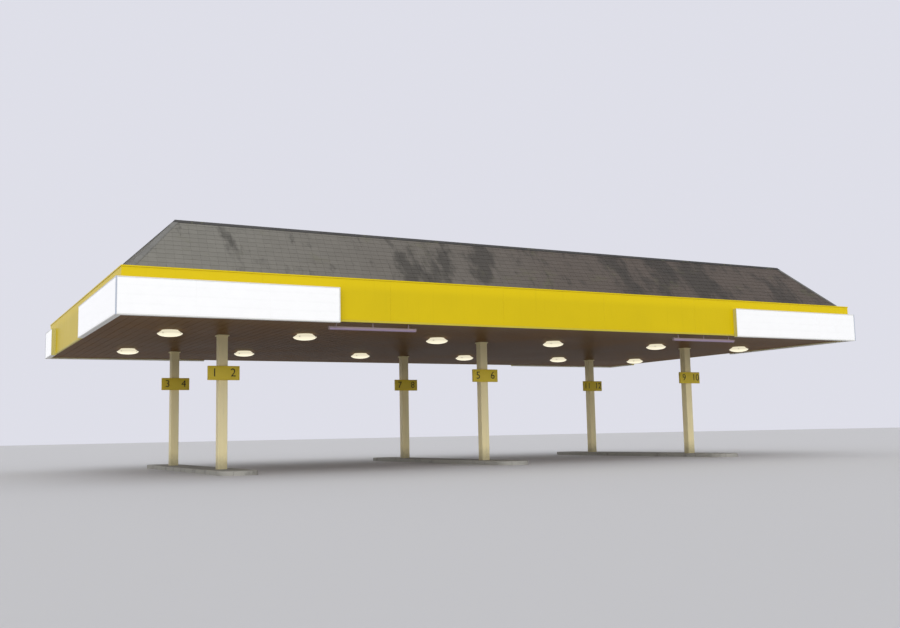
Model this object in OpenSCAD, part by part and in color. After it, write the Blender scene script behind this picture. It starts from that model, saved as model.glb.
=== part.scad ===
// Filling station canopy: six clad columns on three kerbed islands carry a flat
// roof with a lined soffit, a deep fascia with lit sign boxes, and a slated
// mansard skirt that hides the roof deck behind it.
// Millimetres. Z = 0 is the ground, the origin is the middle of the plan, the
// long front faces -Y and the length runs along X.

/* [Plan] */
// Length over the fascia faces
canopy_len = 28160; // [26000:20:32000]
// Depth over the fascia faces
canopy_dep = 15760; // [15000:20:18000]

/* [Soffit] */
// Height of the soffit above the ground
soffit_h = 4560; // [4300:10:5200]
// Thickness of the soffit lining
soffit_t = 50; // [30:5:80]
// Clearance round each steel column where it passes through the soffit
soffit_hole_gap = 5; // [2:1:20]

/* [Fascia] */
// Height of the fascia from its lower edge to its top
fascia_h = 1335; // [1280:5:1500]
// How far the fascia hangs below the soffit
fascia_drop = 15; // [5:1:40]
// Thickness of the fascia panel
fascia_t = 60; // [40:5:100]
// Width of the coping on top of the fascia
coping_w = 95; // [70:5:130]
// Thickness of the coping and of the lower return
coping_t = 12; // [6:1:30]
// How far the coping stands out in front of the fascia
coping_nose = 14; // [5:1:30]
// Depth of the nose that the coping turns down in front of the fascia
coping_nose_h = 36; // [20:1:60]

/* [Sign boxes] */
// How far the sign boxes stand out from the fascia
sign_proud = 170; // [120:5:220]
// Height of the sign boxes
sign_h = 1050; // [900:10:1150]
// How far the sign boxes hang below the fascia
sign_drop = 45; // [10:5:80]
// Width of the metal rim round each sign face
sign_rim = 30; // [15:1:60]
// Depth of the sign face behind its rim
sign_recess = 8; // [3:1:20]
// Length of the box at the left end of the front and back
sign_left_w = 6460; // [4000:20:8000]
// Length of the box at the right end of the front and back
sign_right_w = 6300; // [4000:20:8000]
// Length of the box at the front end of each side
sign_side_front_w = 6920; // [4000:20:8000]
// Length of the box at the back end of each side
sign_side_back_w = 2000; // [1200:20:3000]

/* [Mansard roof] */
// Angle of the slopes
slope_pitch = 47.3; // [46:0.1:49]
// Thickness of the boarded slope
slope_t = 70; // [40:5:100]
// Distance from the fascia face in to the foot of the slope
eaves_inset = 178; // [150:2:200]
// Distance from the fascia face in to the ridge
ridge_inset = 1845; // [1700:5:2100]
// Height of the foot of the slope below the fascia top
eaves_below_top = 80; // [60:5:100]
// Thickness of the upright lining behind the slope
lining_t = 40; // [20:5:80]
// Width of the timber plate under the foot of the slope
eaves_plate_w = 100; // [60:5:150]
// Thickness of the ridge and hip cappings
cap_t = 34; // [28:1:50]
// Width of the ridge capping down the slope
ridge_cap_w = 110; // [80:5:300]
// Drop of the ridge capping down the lining
ridge_cap_drop = 140; // [80:5:200]
// Thickness of the capping where it turns down the lining
ridge_lip_t = 14; // [8:1:30]
// Width of the hip cappings to each side of the hip
hip_cap_w = 110; // [80:5:250]

/* [Box gutter] */
// Width of the box gutter
gutter_w = 270; // [240:5:320]
// Thickness of the gutter sheet
gutter_t = 6; // [4:1:12]
// Height of the fascia top above the gutter edge
gutter_freeboard = 80; // [40:5:120]

/* [Roof frame] */
// Depth of the main roof beams
beam_h = 600; // [560:5:640]
// Width of the beam flanges
beam_w = 229; // [200:1:260]
// Thickness of the beam flanges
beam_flange_t = 20; // [12:1:30]
// Thickness of the beam webs
beam_web_t = 12; // [8:1:20]
// Depth of the purlins
purlin_h = 245; // [200:5:260]
// Width of the purlin flanges
purlin_w = 90; // [60:5:120]
// Thickness of the purlin steel
purlin_t = 8; // [5:1:12]
// Number of purlins
purlin_count = 8; // [6:1:10]
// Distance from the fascia to the first purlin
purlin_end_gap = 300; // [200:10:500]
// Height of the profiled roof deck over its ribs
deck_t = 60; // [40:5:80]
// Thickness of the deck between its ribs
deck_pan_t = 25; // [15:1:35]
// Greatest spacing of the deck ribs
deck_rib_pitch = 250; // [200:10:400]
// Width of a deck rib at its foot
deck_rib_w = 110; // [80:5:150]
// Width of a deck rib at its crown
deck_crown_w = 60; // [40:5:75]
// Greatest spacing of the frames inside the mansard
frame_pitch = 1800; // [1200:50:2400]
// Thickness of the mansard frames
frame_t = 50; // [40:5:80]
// Depth of the members of the mansard frames
frame_member = 100; // [70:5:130]

/* [Columns] */
// Distance from the side fascia faces in to the end columns
column_end_inset = 4150; // [3700:10:4600]
// Distance from the front fascia face to the front columns
front_column_setback = 5030; // [4500:10:5600]
// Distance between the front and back columns
column_row_gap = 6900; // [6000:10:7500]
// Width of the column casing
casing_w = 310; // [300:5:400]
// Thickness of the casing wall
casing_t = 10; // [4:1:12]
// Corner radius of the casing
casing_r = 25; // [15:1:40]
// Width of the steel column inside the casing
steel_w = 200; // [160:10:240]
// Wall of the steel column
steel_t = 12; // [8:1:20]
// Clearance round the base plate inside the casing
base_plate_gap = 5; // [2:1:20]
// Thickness of the base plate
base_plate_t = 25; // [15:1:40]

/* [Islands] */
// Height of the islands above the ground
island_h = 140; // [100:5:200]
// Width of the islands over the kerbs
island_w = 1200; // [1000:20:1500]
// Length of the islands over the kerbs
island_len = 12000; // [11000:50:13000]
// Distance from the front columns to the front end of the islands
island_front_run = 2550; // [1800:10:3000]
// Width of the kerb stones
kerb_w = 125; // [100:5:180]
// Radius of the top outer edge of the kerb
kerb_r = 30; // [10:1:50]

/* [Number flags] */
// Length of each flag, over the parts to both sides of the column
flag_len = 1060; // [900:10:1200]
// Height of the flags
flag_h = 470; // [300:10:500]
// Thickness of the flags
flag_t = 90; // [50:5:150]
// Radius of the upright edges of the flags
flag_r = 12; // [5:1:20]
// Height of the middle of the flags above the ground
flag_z = 3280; // [2900:10:3500]
// Height of the straps that clamp a flag to its column
strap_h = 50; // [30:5:80]
// Thickness of the straps
strap_t = 6; // [4:1:12]
// Distance from the middle of a flag up and down to the middle of its straps
strap_offset = 120; // [80:5:125]

/* [Lights] */
// Diameter of the round downlights
downlight_d = 780; // [600:10:850]
// Diameter of the downlight housing where it meets the soffit
downlight_top_d = 500; // [400:10:580]
// Height of the downlight housing
downlight_body_h = 110; // [60:5:150]
// Thickness of the downlight rim
downlight_rim_h = 25; // [12:1:40]
// Width of the rim round the foot of the housing and the top of the bowl
downlight_rim_w = 25; // [15:1:40]
// Depth of the downlight bowl below the rim
downlight_bowl_h = 85; // [50:5:120]
// Distance from the end columns out to the end downlights
downlight_end_run = 1970; // [1500:10:2400]
// Distance from the front fascia face to the front row of downlights
downlight_front_y = 3890; // [3600:10:4400]
// Distance between the rows of downlights
downlight_row_gap = 7010; // [6500:10:7500]
// Length of the strip lights
strip_len = 2900; // [1800:10:3200]
// Width of the strip lights
strip_w = 110; // [80:5:160]
// Depth of the strip lights over body and cover
strip_h = 105; // [80:5:140]
// Height of the body of the strip lights above their rounded cover
strip_body_h = 50; // [30:5:60]
// Distance from the soffit down to the strip lights
strip_drop = 150; // [60:5:250]
// Distance from the fascia face in to the strip lights
strip_y = 100; // [80:5:600]
// Distance from the end columns in to the middle of each strip light
strip_column_run = 3330; // [2600:10:4200]
// Number of hangers on each strip light
hanger_count = 3; // [2:1:5]
// Width of the hangers
hanger_w = 40; // [20:5:60]
// Thickness of the hangers
hanger_t = 6; // [4:1:10]
// Distance from the ends of a strip light to its end hangers
hanger_end = 250; // [100:10:400]

/* [Hidden] */

// Heights of what is stacked in the roof, from the soffit up
soffit_top = soffit_h + soffit_t;
beam_top = soffit_top + beam_h;
deck_z = beam_top + purlin_h;
deck_top = deck_z + deck_t;
fascia_z = soffit_h - fascia_drop;
fascia_top = fascia_z + fascia_h;
sign_z = fascia_z - sign_drop;

// The slope in section, by distance in from the fascia face and height
eaves_z = fascia_top - eaves_below_top;
ridge_z = eaves_z + (ridge_inset - eaves_inset) * tan(slope_pitch);
slope_drop = slope_t / cos(slope_pitch);
gutter_in = fascia_t + gutter_w;
lining_in = ridge_inset + lining_t;

// Height of the rooms that trim the runs, well above the ridge
room_h = 1.2 * ridge_z;

// Plan positions
column_pitch = canopy_len / 2 - column_end_inset;
column_xs = [-column_pitch, 0, column_pitch];
front_column_y = -canopy_dep / 2 + front_column_setback;
back_column_y = front_column_y + column_row_gap;
island_y0 = front_column_y - island_front_run;
inner_len = canopy_len - 2 * fascia_t;
inner_dep = canopy_dep - 2 * fascia_t;
downlight_y0 = -canopy_dep / 2 + downlight_front_y;
strip_x = column_pitch - strip_column_run;

// The downlights stand at the quarter points of each bay and beyond the end columns
downlight_xs = [
    for (m = [-1, 1], x = [column_pitch / 4, column_pitch * 3 / 4, column_pitch + downlight_end_run])
        m * x
];

// Sizes of the pieces inside the casing
base_plate_w = casing_w - 2 * casing_t - 2 * base_plate_gap;

// Small overcut that keeps cutting tools clear of the faces that they cut
eps = 1;

// Colours as the object shows them
yellow = [0.84, 0.74, 0.08];
cream = [0.80, 0.77, 0.62];
slate = [0.42, 0.41, 0.40];
dark_slate = [0.27, 0.26, 0.25];
opal = [0.97, 0.97, 0.95];
grey = [0.55, 0.55, 0.54];
soffit_grey = [0.33, 0.30, 0.27];
concrete = [0.62, 0.60, 0.56];
steel = [0.45, 0.47, 0.50];

// A side of the canopy as the run along its fascia: 0 front, 1 right, 2 back, 3 left
function run_len(side) = side % 2 == 0 ? canopy_len : canopy_dep;
function run_dep(side) = side % 2 == 0 ? canopy_dep : canopy_len;

// Height of the slope's underside at a distance in from the fascia face
function under_slope(d) = eaves_z + (d - eaves_inset) * tan(slope_pitch) - slope_drop;

// A point in section, by distance down the slope from the ridge and height off it
function off_slope(s, h) = [
    ridge_inset - s * cos(slope_pitch) - h * sin(slope_pitch),
    ridge_z - s * sin(slope_pitch) + h * cos(slope_pitch)
];

// Puts a piece that is drawn on a run, with its fascia face on y = 0, in its place
module on_side(side) {
    rotate([0, 0, 90 * side]) translate([0, -run_dep(side) / 2, 0]) children();
}

// Extrudes a section, drawn as distance in and height, from one x to another
module swept(x0, x1) {
    translate([x0, 0, 0])
        rotate([90, 0, 90]) linear_extrude(x1 - x0) children();
}

// The room of one side in plan, between the mitres at its two corners
module mitre_room(side, d0, d1) {
    half = run_len(side) / 2;
    linear_extrude(room_h)
        polygon([[-half + d0, d0], [half - d0, d0], [half - d1, d1], [-half + d1, d1]]);
}

// A full run along one side with mitred ends, from a section that lies between d0 and d1
module mitred_run(side, d0, d1) {
    half = run_len(side) / 2 - d0;
    on_side(side) intersection() {
        swept(-half, half) children();
        mitre_room(side, d0 - eps, d1 + eps);
    }
}

module rounded_rect(w, d, r) {
    square([w, d - 2 * r], center = true);
    square([w - 2 * r, d], center = true);
    for (x = [-1, 1], y = [-1, 1])
        translate([x * (w / 2 - r), y * (d / 2 - r)]) circle(r, $fn = 48);
}

module rounded_square(w, r) {
    rounded_rect(w, w, r);
}

// Columns, islands and flags

module island(x) {
    r = island_w / 2 - kerb_w;
    color(concrete) translate([x, island_y0 + island_w / 2, 0]) linear_extrude(island_h) {
        translate([-r, 0]) square([2 * r, island_len - island_w]);
        circle(r, $fn = 96);
        translate([0, island_len - island_w]) circle(r, $fn = 96);
    }
}

// Section of the kerb, by distance out from the middle of the island and height
module kerb_section() {
    inner = island_w / 2 - kerb_w;
    translate([inner, 0]) square([kerb_w, island_h - kerb_r]);
    translate([inner, 0]) square([kerb_w - kerb_r, island_h]);
    translate([island_w / 2 - kerb_r, island_h - kerb_r]) circle(kerb_r, $fn = 48);
}

module kerb(x) {
    straight = island_len - island_w;
    translate([x, island_y0 + island_w / 2, 0]) {
        for (m = [0, 1]) mirror([m, 0, 0])
            translate([0, straight, 0]) rotate([90, 0, 0]) linear_extrude(straight) kerb_section();
        rotate([0, 0, 180]) rotate_extrude(angle = 180, $fn = 96) kerb_section();
        translate([0, straight, 0]) rotate_extrude(angle = 180, $fn = 96) kerb_section();
    }
}

module island_kerbs() {
    color(grey) for (x = column_xs) kerb(x);
}

module column(x, y) {
    color(cream) translate([x, y, island_h]) linear_extrude(soffit_h - island_h) difference() {
        rounded_square(casing_w, casing_r);
        rounded_square(casing_w - 2 * casing_t, casing_r - casing_t);
    }
}

module column_steels() {
    color(steel) for (x = column_xs, y = [front_column_y, back_column_y]) translate([x, y, island_h]) {
        translate([-base_plate_w / 2, -base_plate_w / 2, 0])
            cube([base_plate_w, base_plate_w, base_plate_t]);
        linear_extrude(soffit_top - island_h) difference() {
            square(steel_w, center = true);
            square(steel_w - 2 * steel_t, center = true);
        }
    }
}

// The box across a column's front face that bears a number to each side
module flag_box() {
    translate([0, -casing_w / 2 - flag_t / 2, flag_z - flag_h / 2])
        linear_extrude(flag_h) rounded_rect(flag_len, flag_t, flag_r);
}

// A strap that runs round the column from the back of the flag
module flag_strap(z) {
    translate([0, 0, z - strap_h / 2]) linear_extrude(strap_h) difference() {
        rounded_square(casing_w + 2 * strap_t, casing_r + strap_t);
        rounded_square(casing_w, casing_r);
        translate([-casing_w, -casing_w / 2 - flag_t]) square([2 * casing_w, flag_t]);
    }
}

module number_flags(y) {
    color(yellow) for (x = column_xs) translate([x, y, 0]) {
        flag_box();
        for (m = [-1, 1]) flag_strap(flag_z + m * strap_offset);
    }
}

// Roof frame, soffit and deck

module beam_section() {
    for (z = [0, beam_h - beam_flange_t])
        translate([-beam_w / 2, z]) square([beam_w, beam_flange_t]);
    translate([-beam_web_t / 2, 0]) square([beam_web_t, beam_h]);
}

module roof_beams() {
    color(steel) for (x = column_xs)
        translate([x, inner_dep / 2, soffit_top])
            rotate([90, 0, 0]) linear_extrude(inner_dep) beam_section();
}

module purlin_section() {
    translate([-purlin_t / 2, 0]) square([purlin_t, purlin_h]);
    translate([-purlin_w + purlin_t / 2, 0]) square([purlin_w, purlin_t]);
    translate([-purlin_t / 2, purlin_h - purlin_t]) square([purlin_w, purlin_t]);
}

module purlins() {
    span = inner_dep - 2 * purlin_end_gap;
    color(steel) for (i = [0 : purlin_count - 1])
        translate([0, -span / 2 + i * span / (purlin_count - 1), beam_top])
            swept(-inner_len / 2, inner_len / 2) purlin_section();
}

// A frame of the mansard in section: the room under the slope, less its own inside
module frame_outline(m) {
    foot = gutter_in + eaves_plate_w + m;
    back = ridge_inset - m;
    lean = m / cos(slope_pitch);
    polygon([
        [foot, deck_top + m], [back, deck_top + m],
        [back, under_slope(back) - lean], [foot, under_slope(foot) - lean]
    ]);
}

module mansard_frames() {
    color(steel) for (side = [0 : 3]) {
        reach = run_len(side) / 2 - ridge_inset - frame_t / 2;
        count = ceil(2 * reach / frame_pitch);
        on_side(side) for (i = [0 : count])
            translate([-reach + i * 2 * reach / count, 0, 0])
                swept(-frame_t / 2, frame_t / 2) difference() {
                    frame_outline(0);
                    frame_outline(frame_member);
                }
    }
}

module soffit() {
    hole = steel_w + 2 * soffit_hole_gap;
    color(soffit_grey) translate([0, 0, soffit_h]) linear_extrude(soffit_t) difference() {
        square([inner_len, inner_dep], center = true);
        for (x = column_xs, y = [front_column_y, back_column_y])
            translate([x, y]) square(hole, center = true);
    }
}

// Profiled sheet in section along the length, its ribs spread evenly
module deck_section() {
    ribs = ceil(inner_len / deck_rib_pitch);
    polygon([
        [-inner_len / 2, deck_pan_t], [-inner_len / 2, 0],
        [inner_len / 2, 0], [inner_len / 2, deck_pan_t],
        for (i = [ribs - 1 : -1 : 0]) let (x = ((i + 0.5) / ribs - 0.5) * inner_len)
            each [
                [x + deck_rib_w / 2, deck_pan_t], [x + deck_crown_w / 2, deck_t],
                [x - deck_crown_w / 2, deck_t], [x - deck_rib_w / 2, deck_pan_t]
            ]
    ]);
}

module roof_deck() {
    color(grey) translate([0, inner_dep / 2, deck_z])
        rotate([90, 0, 0]) linear_extrude(inner_dep) deck_section();
}

// Fascia and sign boxes

// The panel, its coping and the drip nose under the coping
module fascia_section() {
    translate([0, fascia_z]) square([fascia_t, fascia_h]);
    translate([-coping_nose, fascia_top - coping_t]) square([coping_w + coping_nose, coping_t]);
    translate([-coping_nose, fascia_top - coping_nose_h]) square([coping_nose, coping_nose_h]);
}

module fascia(side) {
    color(yellow) mitred_run(side, -coping_nose, coping_w) fascia_section();
}

// A box that starts at one corner of a side, mitred there, with a face set in a rim
module sign_box(side, left_end, w) {
    reach = run_len(side) / 2 + sign_proud;
    x0 = left_end ? -reach : reach - w;
    color(opal) on_side(side) difference() {
        intersection() {
            translate([x0, -sign_proud, sign_z]) cube([w, sign_proud, sign_h]);
            mitre_room(side, -sign_proud - eps, eps);
        }
        translate([x0 + sign_rim, -sign_proud - eps, sign_z + sign_rim])
            cube([w - 2 * sign_rim, sign_recess + eps, sign_h - 2 * sign_rim]);
    }
}

// Box gutter and mansard

module gutter_section() {
    h = fascia_top - gutter_freeboard - deck_top;
    translate([fascia_t, deck_top]) {
        square([gutter_w, gutter_t]);
        square([gutter_t, h]);
        translate([gutter_w - gutter_t, 0]) square([gutter_t, h]);
    }
}

module gutters(sides) {
    color(grey) for (side = sides) mitred_run(side, fascia_t, gutter_in) gutter_section();
}

module eaves_plates() {
    far = gutter_in + eaves_plate_w;
    color(concrete) for (side = [0 : 3]) mitred_run(side, gutter_in, far)
        polygon([
            [gutter_in, deck_top], [far, deck_top],
            [far, under_slope(far)], [gutter_in, under_slope(gutter_in)]
        ]);
}

module slope(side) {
    s = (ridge_inset - eaves_inset) / cos(slope_pitch);
    color(slate) mitred_run(side, eaves_inset, ridge_inset)
        polygon([
            off_slope(s, 0), [ridge_inset, ridge_z],
            [ridge_inset, ridge_z - slope_drop], off_slope(s, -slope_t)
        ]);
}

module linings(sides) {
    color(grey) for (side = sides) mitred_run(side, ridge_inset, lining_in)
        translate([ridge_inset, deck_top]) square([lining_t, ridge_z - deck_top]);
}

// Where the capping's outer face reaches its flat top
cap_turn = -cap_t * (1 - cos(slope_pitch)) / sin(slope_pitch);

module ridge_cappings(sides) {
    d0 = off_slope(ridge_cap_w, cap_t)[0];
    d1 = lining_in + ridge_lip_t;
    color(dark_slate) for (side = sides) mitred_run(side, d0, d1)
        polygon([
            off_slope(ridge_cap_w, 0), [ridge_inset, ridge_z], [lining_in, ridge_z],
            [lining_in, ridge_z - ridge_cap_drop], [d1, ridge_z - ridge_cap_drop],
            [d1, ridge_z + cap_t], off_slope(cap_turn, cap_t), off_slope(ridge_cap_w, cap_t)
        ]);
}

// A section that both of two opposite slopes share, from its points on one of them
function both_slopes(side, points) = let (half = run_dep(side) / 2) concat(
    [for (p = points) [p[0] - half, p[1]]],
    [for (i = [len(points) - 1 : -1 : 0]) [half - points[i][0], points[i][1]]]
);

// What lies inside one line on all four slopes, mitred where their planes meet
module inside_slopes(points) {
    intersection() {
        swept(-canopy_len / 2, canopy_len / 2) polygon(both_slopes(0, points));
        rotate([0, 0, 90])
            swept(-canopy_dep / 2, canopy_dep / 2) polygon(both_slopes(1, points));
    }
}

// The cappings on the hips: a strip along each, from the ridge cappings to the slope's foot
module hip_cappings() {
    foot = (ridge_inset - eaves_inset) / cos(slope_pitch);
    color(dark_slate) intersection() {
        difference() {
            inside_slopes([off_slope(foot, -cap_t), off_slope(foot, cap_t), off_slope(0, cap_t)]);
            inside_slopes([off_slope(foot + 2 * cap_t, 0), off_slope(0, 0)]);
            inside_slopes([off_slope(ridge_cap_w, -cap_t), off_slope(ridge_cap_w, ridge_inset)]);
        }
        for (x = [0, 1], y = [0, 1]) mirror([x, 0, 0]) mirror([0, y, 0])
            translate([-canopy_len / 2, -canopy_dep / 2, 0]) rotate([0, 0, 45])
                translate([0, -hip_cap_w, 0])
                    cube([ridge_inset * sqrt(2), 2 * hip_cap_w, room_h]);
    }
}

// Lights

// Half section of a downlight, from the soffit down: housing, rim and bowl
module downlight_section() {
    r = downlight_d / 2;
    bowl_r = r - downlight_rim_w;
    rim_z = -downlight_body_h - downlight_rim_h;
    polygon([
        [0, 0], [downlight_top_d / 2, 0], [bowl_r, -downlight_body_h],
        [r, -downlight_body_h], [r, rim_z], [bowl_r, rim_z],
        for (a = [10 : 10 : 90]) [bowl_r * cos(a), rim_z - downlight_bowl_h * sin(a)]
    ]);
}

module downlights(y) {
    color(opal) for (x = downlight_xs) translate([x, y, soffit_h])
        rotate_extrude($fn = 96) downlight_section();
}

// Section of a strip light, from its top down: the body and its rounded cover
module strip_section() {
    cover_h = strip_h - strip_body_h;
    polygon([
        [strip_w / 2, 0], [-strip_w / 2, 0], [-strip_w / 2, -strip_body_h],
        for (a = [0 : 15 : 180])
            [-strip_w / 2 * cos(a), -strip_body_h - cover_h * sin(a)],
        [strip_w / 2, -strip_body_h]
    ]);
}

// A strip light under the soffit, with the flat hangers that carry it
module strip_light() {
    run = strip_len / 2 - hanger_end;
    translate([0, strip_y + strip_w / 2, soffit_h - strip_drop]) {
        swept(-strip_len / 2, strip_len / 2) strip_section();
        for (i = [0 : hanger_count - 1])
            translate([-run + i * 2 * run / (hanger_count - 1), 0, 0])
                translate([-hanger_w / 2, -hanger_t / 2, 0]) cube([hanger_w, hanger_t, strip_drop]);
    }
}

module strip_lights() {
    color(opal) for (m = [-1, 1]) on_side(0) translate([m * strip_x, 0, 0]) strip_light();
}

island(-column_pitch);  // island_left
island(0);  // island_centre
island(column_pitch);  // island_right
island_kerbs();
column(-column_pitch, front_column_y);  // column_front_left
column(0, front_column_y);  // column_front_centre
column(column_pitch, front_column_y);  // column_front_right
column(-column_pitch, back_column_y);  // column_back_left
column(0, back_column_y);  // column_back_centre
column(column_pitch, back_column_y);  // column_back_right
column_steels();
number_flags(front_column_y);  // number_flags_front
number_flags(back_column_y);  // number_flags_back
roof_beams();
purlins();
mansard_frames();
soffit();
roof_deck();
fascia(0);  // fascia_front
fascia(1);  // fascia_right
fascia(2);  // fascia_back
fascia(3);  // fascia_left
sign_box(0, true, sign_left_w);  // sign_front_left
sign_box(0, false, sign_right_w);  // sign_front_right
sign_box(2, false, sign_left_w);  // sign_back_left
sign_box(2, true, sign_right_w);  // sign_back_right
sign_box(3, false, sign_side_front_w);  // sign_left_front
sign_box(3, true, sign_side_back_w);  // sign_left_back
sign_box(1, true, sign_side_front_w);  // sign_right_front
sign_box(1, false, sign_side_back_w);  // sign_right_back
gutters([0, 2]);  // gutters_long
gutters([1, 3]);  // gutters_short
eaves_plates();
slope(0);  // slope_front
slope(1);  // slope_right
slope(2);  // slope_back
slope(3);  // slope_left
linings([0, 2]);  // linings_long
linings([1, 3]);  // linings_short
ridge_cappings([0, 2]);  // ridge_cappings_long
ridge_cappings([1, 3]);  // ridge_cappings_short
hip_cappings();
downlights(downlight_y0);  // downlights_front
downlights(downlight_y0 + downlight_row_gap);  // downlights_back
strip_lights();
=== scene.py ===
import random
from math import asin, ceil, cos, pi, radians, sin, sqrt, tan

import bmesh
import bpy
from bpy.props import FloatProperty, FloatVectorProperty, PointerProperty
from mathutils import Matrix, Vector


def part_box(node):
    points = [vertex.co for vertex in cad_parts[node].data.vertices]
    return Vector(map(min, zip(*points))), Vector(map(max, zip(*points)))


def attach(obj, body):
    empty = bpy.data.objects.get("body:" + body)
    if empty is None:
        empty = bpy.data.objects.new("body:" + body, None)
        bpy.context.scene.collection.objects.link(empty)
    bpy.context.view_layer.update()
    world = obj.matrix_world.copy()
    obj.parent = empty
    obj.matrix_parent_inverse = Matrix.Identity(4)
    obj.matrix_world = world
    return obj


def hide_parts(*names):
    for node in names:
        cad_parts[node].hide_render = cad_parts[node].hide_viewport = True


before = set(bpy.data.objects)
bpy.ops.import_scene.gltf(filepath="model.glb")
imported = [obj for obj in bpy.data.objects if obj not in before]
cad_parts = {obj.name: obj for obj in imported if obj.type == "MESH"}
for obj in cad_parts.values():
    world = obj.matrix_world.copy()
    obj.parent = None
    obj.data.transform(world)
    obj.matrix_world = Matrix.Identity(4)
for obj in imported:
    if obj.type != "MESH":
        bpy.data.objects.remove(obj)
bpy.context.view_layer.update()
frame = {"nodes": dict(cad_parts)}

bl_info = {
    "name": "Forecourt Canopy",
    "version": (1, 0, 0),
    "blender": (4, 5, 0),
    "location": "View3D > Sidebar > Canopy",
    "description": "Dresses the solids of a filling station canopy with slates, panels, signs and lights",
    "category": "Object",
}

BODY = "root"
FULL_TURN = 2 * pi
FRONT, RIGHT, BACK, LEFT = range(4)
SIDE_NAMES = ("front", "right", "back", "left")


# Places that the solids give

def box_of(node):
    """Lowest and highest corner of a node, as vectors."""
    low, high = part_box(node)
    return Vector(low), Vector(high)


def middle_of(node):
    """Middle of a node's box."""
    low, high = box_of(node)
    return (low + high) / 2


COPING_NOSE = 0.014
COPING_NOSE_DEPTH = 0.036
COPING_THICKNESS = 0.012
COPING_WIDTH = 0.095
FASCIA_THICKNESS = 0.06
LINING_THICKNESS = 0.04
TRAY_DEPTH = 0.012
SLOPE_PITCH = radians(47.3)
SOFFIT = box_of("soffit")
FASCIA_FRONT = box_of("fascia_front")
FASCIA_LEFT = box_of("fascia_left")
SLOPE_FRONT = box_of("slope_front")
HALF_LENGTH = -FASCIA_LEFT[0].x - COPING_NOSE
HALF_DEPTH = -FASCIA_FRONT[0].y - COPING_NOSE
FASCIA_Z = FASCIA_FRONT[0].z
FASCIA_TOP = FASCIA_FRONT[1].z
SOFFIT_Z = SOFFIT[0].z
DECK_TOP = box_of("roof_deck")[1].z
EAVES_INSET = HALF_DEPTH + SLOPE_FRONT[0].y
RIDGE_INSET = HALF_DEPTH + SLOPE_FRONT[1].y
RIDGE_Z = SLOPE_FRONT[1].z
SLOPE_LENGTH = (RIDGE_INSET - EAVES_INSET) / cos(SLOPE_PITCH)
EAVES_Z = RIDGE_Z - SLOPE_LENGTH * sin(SLOPE_PITCH)
WELL_INSET = RIDGE_INSET + LINING_THICKNESS
COLUMN_ROWS = (
    ("column_front_left", "column_front_centre", "column_front_right"),
    ("column_back_left", "column_back_centre", "column_back_right"),
)
COLUMNS = [name for row in COLUMN_ROWS for name in row]
COLUMN_PITCH = middle_of("column_front_right").x


def move(x, y=0, z=0):
    return Matrix.Translation((x, y, z))


def turn(angle, axis="Z"):
    return Matrix.Rotation(angle, 4, axis)


def half_run(side):
    """Half the length of one side, between the fascia faces at its ends."""
    return HALF_LENGTH if side in (FRONT, BACK) else HALF_DEPTH


def side_place(side):
    """Takes a run's own frame, x along it and y in from the fascia face, to the object's."""
    reach = HALF_DEPTH if side in (FRONT, BACK) else HALF_LENGTH
    return turn(side * pi / 2) @ move(0, -reach)


def on_slope(down, height):
    """A point in a run's section, by distance down the slope from the ridge and height off it."""
    return (
        RIDGE_INSET - down * cos(SLOPE_PITCH) - height * sin(SLOPE_PITCH),
        RIDGE_Z - down * sin(SLOPE_PITCH) + height * cos(SLOPE_PITCH),
    )


def even_parts(start, end, length, gap):
    """Cuts a run into equal parts of about one length, with a gap between them."""
    count = max(1, round((end - start) / length))
    step = (end - start) / count
    return [(start + i * step + gap / 2, start + (i + 1) * step - gap / 2) for i in range(count)]


# Shapes

def add_box(bm, corner, opposite, place=Matrix()):
    """Adds a box between two opposite corners and gives its vertices."""
    corner = Vector(corner)
    opposite = Vector(opposite)
    size = Matrix.Diagonal([abs(reach) for reach in opposite - corner]).to_4x4()
    centred = place @ Matrix.Translation((corner + opposite) / 2) @ size
    return bmesh.ops.create_cube(bm, size=1, matrix=centred)["verts"]


def add_prism(bm, section, start, end, place=Matrix()):
    """Extrudes a section, given as y and z, from one x to another and gives its vertices."""
    ring = [bm.verts.new((start, y, z)) for y, z in section]
    return grow(bm, [bm.faces.new(ring)], (end - start, 0, 0), place)


def grow(bm, faces, reach, place=Matrix()):
    """Makes flat faces a solid, moves it to its place and gives its vertices."""
    base = list({vert for face in faces for vert in face.verts})
    grown = bmesh.ops.extrude_face_region(bm, geom=faces, use_keep_orig=True)["geom"]
    moved = [item for item in grown if isinstance(item, bmesh.types.BMVert)]
    bmesh.ops.translate(bm, verts=moved, vec=reach)
    bmesh.ops.transform(bm, matrix=place, verts=base + moved)
    return base + moved


def bevel(bm, width, segments=1, edges=None):
    """Rounds or chamfers edges."""
    bmesh.ops.bevel(
        bm, geom=edges or bm.edges[:], offset=width, affect="EDGES", segments=segments,
        profile=0.5, material=-1, clamp_overlap=True,
    )


def boxes(corners, edge=0, segments=1):
    """A new bmesh with a box between each two opposite corners, bevelled where an edge is given."""
    bm = bmesh.new()
    for corner, opposite in corners:
        add_box(bm, corner, opposite)
    if edge:
        bevel(bm, edge, segments)
    return bm


def prisms(section, runs, edge=0):
    """A new bmesh with a section extruded along each run, bevelled where an edge is given."""
    bm = bmesh.new()
    for start, end in runs:
        add_prism(bm, section, start, end)
    if edge:
        bevel(bm, edge)
    return bm


def arc(middle, across, up, start, end, count):
    """Points along part of an ellipse, from one angle in degrees to another, in equal steps."""
    angles = [radians(start + i * (end - start) / count) for i in range(count + 1)]
    return [(middle[0] + across * cos(a), middle[1] + up * sin(a)) for a in angles]


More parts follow.
